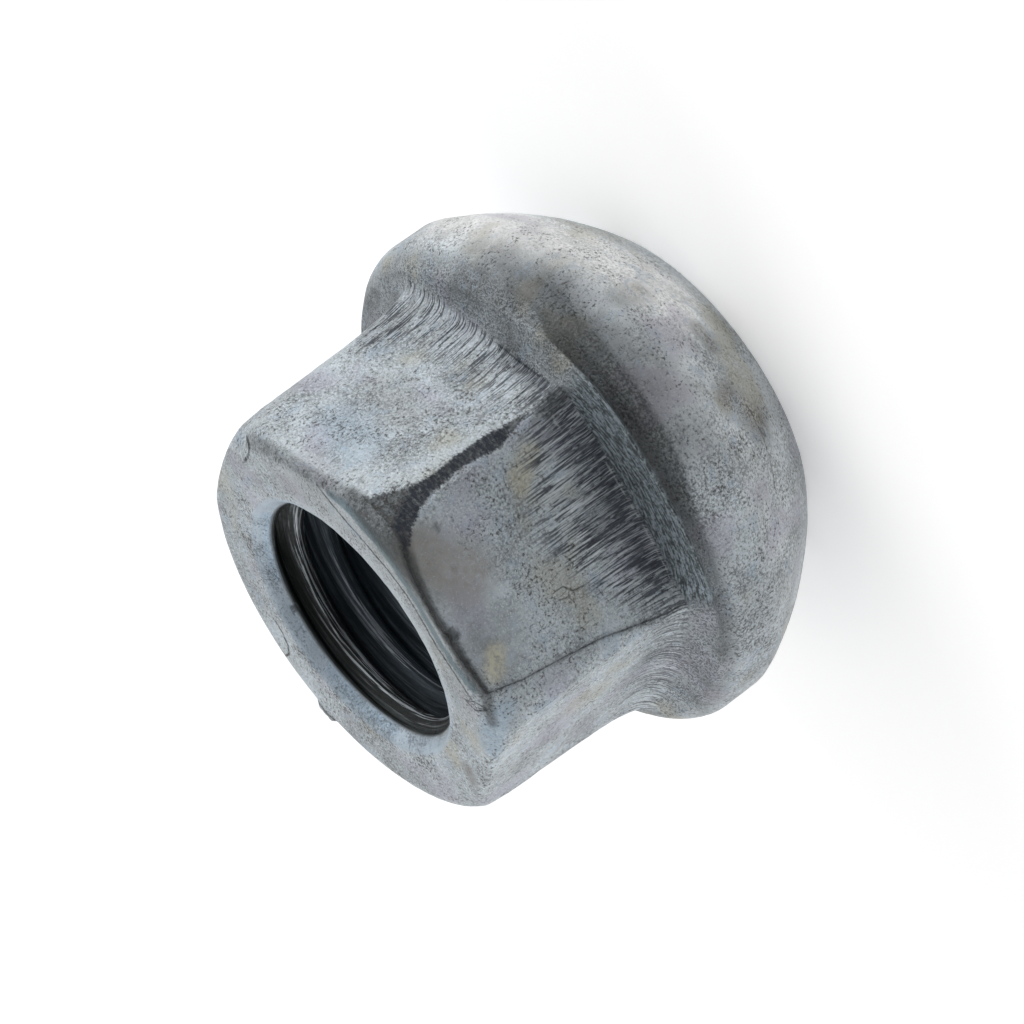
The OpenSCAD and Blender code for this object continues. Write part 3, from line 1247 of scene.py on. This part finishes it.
# %% Noises
to_mm = node("ShaderNodeMapping")
to_mm.inputs["Scale"].default_value = (1000, 1000, 1000)
links.new(node("ShaderNodeTexCoord").outputs["Object"], to_mm.inputs["Vector"])
mm = to_mm.outputs[0]
outwards = vector_math("NORMALIZE", vector_math("MULTIPLY", mm, (1, 1, 0)), (0, 0, 0))
ring_place = vector_math("MULTIPLY", outwards, (9, 9, 9))
drawn_place = vector_math("ADD", ring_place, vector_math("MULTIPLY", mm, (0, 0, 0.06)))
streaks = cloud(drawn_place, 5.5, 3.0, 0.6)
fine_streaks = cloud(drawn_place, 13.0, 1.5, 0.5)
finest_streaks = cloud(drawn_place, 18.0, 1.0, 0.5)
broken = cloud(vector_math("MULTIPLY", mm, (1, 1, 0.5)), 2.2, 3.0, 0.6)
mottle = cloud(mm, 0.45, 5.0, 0.62)
patches = cloud(mm, 1.1, 4.0, 0.6, 0.8)
tint = cloud(mm, 0.32, 2.0, 0.5)
grain = cloud(mm, 4.0, 6.0, 0.75)
crumbs = cloud(mm, 8.0, 2.0, 0.6)
dust = cloud(mm, 14.0, 1.0, 0.6)
zones = cloud(mm, 0.7, 3.0, 0.6)
scratches = cloud(vector_math("MULTIPLY", mm, (1.0, 1.0, 0.22)), 9.0, 3.0, 0.65, 1.2)
slanted = vector_math("MULTIPLY", vector_math("ADD", mm, (3, 1, 2)), (0.25, 0.6, 1.0))
cross_scratches = cloud(slanted, 8.0, 3.0, 0.65, 1.5)
print("noises so far:", sum(n.bl_idname == "ShaderNodeTexNoise" for n in nodes))

# %% [markdown]
# ### Bare zinc
# The ground colour runs from a dark to a light grey. How dark a place is comes from several sizes of noise
# added together. The ball seat is painted lighter, as painted light from the floor below it, and a stretch
# along its top lighter still, as a painted highlight.

# %% Bare zinc
rough_here = span(painted("smooth"), 0, 1, 1, 0.12)
on_bulge = painted("bulge")
level = plus(times(mottle, 0.28), times(patches, 0.08))
level = plus(level, times(grain, 0.20))
fine = times(plus(crumbs, -0.5), span(on_bulge, 0, 1, 0.22, 0.40))
fine = plus(fine, times(plus(dust, -0.5), span(on_bulge, 0, 1, 0.14, 0.26)))
level = plus(plus(level, times(fine, rough_here)), 0.22)
DARK_ZINC, LIGHT_ZINC = (0.170, 0.185, 0.195), (0.62, 0.685, 0.73)
# The seat's colours are painted light from the floor below; the sheen's colours are a painted highlight.
SEAT_DARK, SEAT_LIGHT = (0.29, 0.305, 0.31), (0.82, 0.85, 0.86)
PAINTED_SHEEN_DARK, PAINTED_SHEEN_LIGHT = (0.56, 0.57, 0.57), (0.99, 0.99, 0.99)
seat_painted_light = times(painted("ball"), 0.55)
darkest = over(painted("sheen"), over(seat_painted_light, DARK_ZINC, SEAT_DARK), PAINTED_SHEEN_DARK)
lightest = over(painted("sheen"), over(seat_painted_light, LIGHT_ZINC, SEAT_LIGHT), PAINTED_SHEEN_LIGHT)
colour = over(span(level, 0.385, 0.60), darkest, lightest)
print("nodes with the bare zinc:", len(nodes))

# %% [markdown]
# Zinc is never one grey. Slow noises lay bluish, yellowish and mauve areas over it, and the
# finest one a few bright crystals.

# %% Its own tints
BLUISH, YELLOWISH, MAUVE = (0.33, 0.42, 0.52), (0.46, 0.44, 0.34), (0.43, 0.41, 0.50)
CRYSTAL = (0.72, 0.77, 0.80)
colour = over(span(patches, 0.53, 0.68, 0, 0.45), colour, BLUISH)
colour = over(span(tint, 0.55, 0.70, 0, 0.45), colour, YELLOWISH)
colour = over(span(tint, 0.46, 0.32, 0, 0.40), colour, MAUVE)
colour = over(span(dust, 0.60, 0.74, 0, 0.6), colour, CRYSTAL)
print("nodes with the zinc's own tints:", len(nodes))

# %% [markdown]
# The painted tints come next. Each is a name, the value where the grain counts as low, the
# strengths at low and at high grain, and a colour. So every tint is broken up by the grain.

# %% Painted tints
ridge_strength = span(level, 0.42, 0.58, 0.30, 0.55)
colour = over(times(painted("ridge"), ridge_strength), colour, (0.56, 0.61, 0.64))
HIGH_GRAIN = 0.6
PAINTED_TINTS = [
    # front_flat_shade is painted shade on the front flat, which faces away from the lamps.
    ("front_flat_shade", 0.30, 0.25, 0.25, (0.11, 0.148, 0.175)),
    ("smudge", 0.30, 0.50, 0.30, (0.11, 0.12, 0.125)),
    ("cone", 0.30, 0.85, 0.55, (0.42, 0.51, 0.60)),
    ("blue", 0.35, 0.30, 0.70, (0.36, 0.47, 0.58)),
    ("brown", 0.35, 0.25, 0.65, (0.19, 0.165, 0.14)),
    ("yellow", 0.35, 0.20, 0.70, (0.47, 0.44, 0.32)),
    ("near_face", 0.30, 0.34, 0.34, (0.28, 0.29, 0.28)),
    ("blue_band", 0.30, 0.95, 0.75, (0.105, 0.165, 0.19)),
    ("mouth_rim", 0.30, 0.55, 0.85, (0.52, 0.57, 0.60)),
]
for name, low_grain, at_low, at_high, tint_colour in PAINTED_TINTS:
    strength = times(painted(name), span(grain, low_grain, HIGH_GRAIN, at_low, at_high))
    colour = over(strength, colour, tint_colour)
print("painted tints:", 1 + len(PAINTED_TINTS))

# %% [markdown]
# ### Pits and short scratches
# Fine dark pits are where a noise falls under a limit, and the limit changes slowly over the
# nut. Scratches are the same noise, stretched in two directions.

# %% Pits and scratches
PIT_BROWN, SCRATCH_GREY = (0.085, 0.076, 0.066), (0.07, 0.07, 0.075)
pit_level = plus(span(zones, 0.35, 0.65, 0.28, 0.40), times(painted("speckle"), 0.07))
pits = times(span(sums("SUBTRACT", crumbs, pit_level), 0.01, -0.03), rough_here)
colour = over(times(pits, 0.75), colour, PIT_BROWN)
nicks = span(sums("SUBTRACT", scratches, pit_level), 0.01, -0.03)
nicks = plus(nicks, span(sums("SUBTRACT", cross_scratches, pit_level), 0.0, -0.04))
nicks = times(nicks, rough_here)
colour = over(times(nicks, 0.5), colour, SCRATCH_GREY)
print("nodes with pits and scratches:", len(nodes))

# %% [markdown]
# ### Dirt on the collar
# Dirt clings in specks, so the wide painted stain is broken up by the finest noises before it
# is laid over the zinc.

# %% Dirt, ledge and valley
GRIME, LEDGE_GRIME, VALLEY_SHADE_AND_GRIME = (0.105, 0.095, 0.082), (0.085, 0.09, 0.09), (0.036, 0.040, 0.042)
dirty_zone = span(cloud(mm, 0.38, 3.0, 0.6), 0.40, 0.62, 0.15, 0.75)
specks = plus(times(grain, 0.25), plus(times(crumbs, 0.45), times(dust, 0.3)))
dirt_here = plus(times(painted("dirt"), 0.75), times(times(on_bulge, dirty_zone), 0.28))
dirt_here = times(dirt_here, span(specks, 0.44, 0.56, 0.0, 1.1))
colour = over(times(dirt_here, 0.85), colour, GRIME)
ledge_specks = times(painted("ledge"), span(specks, 0.47, 0.57, 0.0, 0.80))
colour = over(ledge_specks, colour, LEDGE_GRIME)
# The valley's dark colour is partly painted shade in the hollow under the lip and partly grime.
valley_here = times(painted("valley"), span(specks, 0.44, 0.60, 1.0, 0.70))
colour = over(times(valley_here, 0.95), colour, VALLEY_SHADE_AND_GRIME)
print("nodes with the dirt:", len(nodes))

# %% [markdown]
# The ledge beside the front flat was scraped round and round by the die. Its noise is slow along
# the ring and quick across it, so the place it reads is a direction and a distance from the axis.

# %% Scraped ledge
SCRAPED_DARK, SCRAPED_LIGHT = (0.052, 0.066, 0.070), (0.36, 0.43, 0.48)
from_axis = node("ShaderNodeVectorMath", operation="LENGTH")
feed(from_axis.inputs[0], vector_math("MULTIPLY", mm, (1, 1, 0)))
ring_number = node("ShaderNodeCombineXYZ")
feed(ring_number.inputs["Z"], from_axis.outputs["Value"])
along_ring = vector_math("ADD", vector_math("MULTIPLY", ring_place, (0.22, 0.22, 0)), ring_number.outputs[0])
strip_tone = plus(times(cloud(along_ring, 12.0, 2.0, 0.6), 0.6), times(crumbs, 0.4))
strip_colour = over(span(strip_tone, 0.42, 0.60), SCRAPED_DARK, SCRAPED_LIGHT)
colour = over(times(painted("strip"), 0.9), colour, strip_colour)
print("nodes with the scraped ledge:", len(nodes))

# %% [markdown]
# ### Drawn streaks
# Broad soft streaks come first. Near the foot everything gets darker, with finer streaks in it,
# and further up only thin hard ones are left. Each lies where a stretched noise is low. Where it
# is high, bare bright streaks show between them.

# %% Drawn streaks
SOFT_STREAK, HARD_STREAK, FOOT_BLACK = (0.07, 0.078, 0.095), (0.035, 0.04, 0.055), (0.028, 0.034, 0.048)
BARE_STREAK = (0.62, 0.67, 0.71)
drawn_here = painted("drawn")
root_here = painted("root_dark")
broad = times(span(streaks, 0.48, 0.40), span(drawn_here, 0.30, 0.95))
colour = over(times(broad, 0.30), colour, SOFT_STREAK)
shade = plus(root_here, plus(around_half(streaks, 0.8), around_half(fine_streaks, 2.2)))
shade = plus(shade, around_half(finest_streaks, 3.4))
shade = times(span(shade, 0.25, 1.0), span(root_here, 0.02, 0.3))
colour = over(times(shade, 0.86), colour, FOOT_BLACK)
thin = span(plus(fine_streaks, around_half(broken, 0.3)), 0.460, 0.425)
thin = times(thin, span(drawn_here, 0.02, 0.55))
colour = over(times(thin, 0.80), colour, HARD_STREAK)
bright_streaks = plus(times(fine_streaks, 0.5), times(finest_streaks, 0.5))
bright_streaks = times(span(bright_streaks, 0.54, 0.59), span(drawn_here, 0.1, 0.8, 0, 0.75))
bright_streaks = times(bright_streaks, span(root_here, 0.3, 1.0, 1.0, 0.65))
colour = over(bright_streaks, colour, BARE_STREAK)
print("nodes with the streaks:", len(nodes))

# %% [markdown]
# ### Corners and fold
# The facets are darker and rough, and the near crown is darker, partly dirt and partly painted shade, as it
# faces away from the light. The fold has a ragged outline, which is its smooth one moved by a noise, and
# dark feathers inside, partly its own dark residue and partly painted shade.

# %% Corners and fold
FACET_GREY, CROWN_SHADE_AND_DIRT = (0.10, 0.11, 0.12), (0.075, 0.08, 0.08)
FOLD_GREY, FOLD_SHADE_AND_RESIDUE = (0.056, 0.058, 0.058), (0.018, 0.023, 0.034)
ragged_edge = around_half(cloud(mm, 3.6, 5.0, 0.75), 1.1)
facets_here = span(plus(painted("facets"), ragged_edge), 0.45, 0.7)
colour = over(times(facets_here, 0.12), colour, FACET_GREY)
colour = over(times(painted("near_crown"), span(grain, 0.3, 0.6, 0.9, 0.65)), colour, CROWN_SHADE_AND_DIRT)
feather_place = vector_math("MULTIPLY", mm, (1.0, 0.5, 2.2))
fold_edge = plus(painted("fold"), around_half(cloud(feather_place, 4.5, 3.0, 0.7), 0.5))
in_fold = span(fold_edge, -0.07, 0.09)
colour = over(times(in_fold, span(grain, 0.35, 0.65, 0.95, 0.70)), colour, FOLD_GREY)
feathers = around_half(cloud(feather_place, 3.2, 4.0, 0.75, 0.6), 3.0)
deep_fold = times(in_fold, plus(times(painted("fold_dark"), 0.75), feathers))
colour = over(span(deep_fold, 0.0, 1.0, 0, 0.95), colour, FOLD_SHADE_AND_RESIDUE)
print("nodes with the fold:", len(nodes))

# %% [markdown]
# ### Thin lines
# A line is dark where its signed distance is near zero. A noise added to that distance makes it
# wander and break like a real scratch.

# %% Dark and bright lines
HALO_GREY, CRACK_BLACK, BARE_STEEL_AND_HIGHLIGHT = (0.040, 0.042, 0.043), (0.026, 0.028, 0.030), (0.50, 0.55, 0.57)
halo = times(painted("halos"), span(grain, 0.3, 0.6, 1.0, 0.75))
colour = over(times(halo, 0.88), colour, HALO_GREY)
wobble = around_half(cloud(mm, 5.0, 3.0, 0.7), 3.0)
from_dark = sums("ABSOLUTE", plus(painted("dark_off"), wobble))
crack = times(span(from_dark, 1.8, 0.6), times(painted("dark_near"), span(grain, 0.35, 0.6, 1.0, 0.5)))
colour = over(times(crack, 0.94), colour, CRACK_BLACK)
from_bright = sums("ABSOLUTE", plus(painted("bright_off"), wobble))
gleam = times(span(from_bright, 1.8, 0.6), times(painted("bright_near"), span(grain, 0.4, 0.6)))
colour = over(gleam, colour, BARE_STEEL_AND_HIGHLIGHT)
print("nodes with the thin lines:", len(nodes))

# %% [markdown]
# ### Thread
# The thread is not one tone: its first turn is nearly black and the deeper ones are a dark blue grey, all
# are marked by the cutting tool along the turns, and the crests near the open end carry a painted highlight.

# %% Thread
tool_marks = cloud(vector_math("MULTIPLY", mm, (0.018, 0.018, 1.0)), 9.0, 4.0, 0.7)
FIRST_TURN_DARK, FIRST_TURN_PALE = (0.010, 0.013, 0.013), (0.050, 0.058, 0.060)
DEEP_DARK, DEEP_PALE = (0.045, 0.060, 0.075), (0.16, 0.20, 0.24)
CREST_HIGHLIGHT = (0.50, 0.53, 0.57)
# The thread is painted nearly black in its first turn and dark blue grey deeper down.
turn_dark = over(painted("deep"), FIRST_TURN_DARK, DEEP_DARK)
turn_pale = over(painted("deep"), FIRST_TURN_PALE, DEEP_PALE)
thread_colour = over(span(tool_marks, 0.44, 0.68), turn_dark, turn_pale)
# crest_glint paints a highlight along the crests near the open end.
crest_glint = times(span(tool_marks, 0.52, 0.58), painted("crest"))
thread_colour = over(times(crest_glint, 0.85), thread_colour, CREST_HIGHLIGHT)
colour = over(painted("bore"), colour, thread_colour)
links.new(colour, shader.inputs["Base Color"])
print("nodes with the thread:", len(nodes))

# %% [markdown]
# Old zinc shines softly, a little more in its lower grain.

# %% Metal and roughness
HALF_METAL = 0.60
shader.inputs["Metallic"].default_value = HALF_METAL
links.new(span(grain, 0.3, 0.7, 0.42, 0.62), shader.inputs["Roughness"])
print("nodes in the zinc:", len(nodes))

# %% [markdown]
# ### Fine relief
# Grain, pits and streaks are a few hundredths of a millimetre deep. That is too little for
# points of the mesh, so a Bump node tilts the surface by the same noises that coloured it, and
# each dark pit also catches the light like a pit.

# %% Relief
outside = span(painted("bore"), 0.5, 0.0)
relief = times(plus(times(grain, 0.8), times(crumbs, 0.7)), rough_here)
relief = plus(relief, times(times(crumbs, painted("ledge")), 0.9))
relief = plus(relief, times(times(fine_streaks, drawn_here), 1.5))
relief = plus(relief, times(times(tool_marks, painted("bore")), 0.9))
CUTS = [
    (times(pits, outside), 0.5),
    (times(nicks, outside), 0.3),
    (broad, 0.8),
    (thin, 0.9),
    (crack, 2.0),
    (halo, 1.2),
]
for cut, depth in CUTS:
    relief = plus(relief, times(cut, -depth))
bump = node("ShaderNodeBump")
RELIEF_DEPTH = 0.08
bump.inputs["Strength"].default_value = 0.9
bump.inputs["Distance"].default_value = RELIEF_DEPTH * MM
links.new(relief, bump.inputs["Height"])
links.new(bump.outputs[0], shader.inputs["Normal"])
print("cuts in the relief:", len(CUTS))

# %% [markdown]
# ## Light
# A forged nut shows its form by soft, wide light. One large lamp shines from the right, and a
# weaker one from behind on the left. Their brightness is given so that 1 would look plain white,
# and the power follows from their size.

# %% Lamps


def soft_lamp(name, place_mm, size_mm, brightness):
    """A square soft lamp that looks at the middle of the nut."""
    data = bpy.data.lights.new(name, "AREA")
    data.shape = "SQUARE"
    data.size = size_mm * MM
    data.energy = brightness * math.pi * data.size ** 2
    lamp = bpy.data.objects.new(name, data)
    lamp.location = Vector(place_mm) * MM
    toward = Vector((0, 0, 9 * MM)) - lamp.location
    lamp.rotation_euler = toward.to_track_quat("-Z", "Y").to_euler()
    bpy.context.scene.collection.objects.link(lamp)
    print(name, "lamp:", round(data.energy, 2), "W")


LAMP_SIZE = 300
soft_lamp("key", (445, 40, 130), LAMP_SIZE, 3.2)
soft_lamp("fill", (-400, 140, 220), LAMP_SIZE, 1.5)

# %% [markdown]
# The world stands for the room: darker in front of the nut and brighter behind it, so that
# the ring of the open end and the far flats get a soft rim of light.

# %% Room
world = bpy.data.worlds.new("studio")
bpy.context.scene.world = world
world.use_nodes = True
world_nodes, world_links = world.node_tree.nodes, world.node_tree.links
sky_place = world_nodes.new("ShaderNodeTexCoord")
split = world_nodes.new("ShaderNodeSeparateXYZ")
world_links.new(sky_place.outputs["Generated"], split.inputs[0])
sky = world_nodes.new("ShaderNodeMapRange")
SKY = {"From Min": -0.9, "From Max": 0.7, "To Min": 0.30, "To Max": 0.95}
for name, value in SKY.items():
    sky.inputs[name].default_value = value
world_links.new(split.outputs["Y"], sky.inputs["Value"])
world_links.new(sky.outputs[0], world_nodes["Background"].inputs["Strength"])
world_nodes["Background"].inputs["Color"].default_value = (1, 1, 1, 1)
print("room from", SKY["To Min"], "in front to", SKY["To Max"], "behind")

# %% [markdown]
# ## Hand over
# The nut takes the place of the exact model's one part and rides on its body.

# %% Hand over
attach(nut, "root")
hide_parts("nut")
bpy.context.scene.view_settings.view_transform = "Standard"
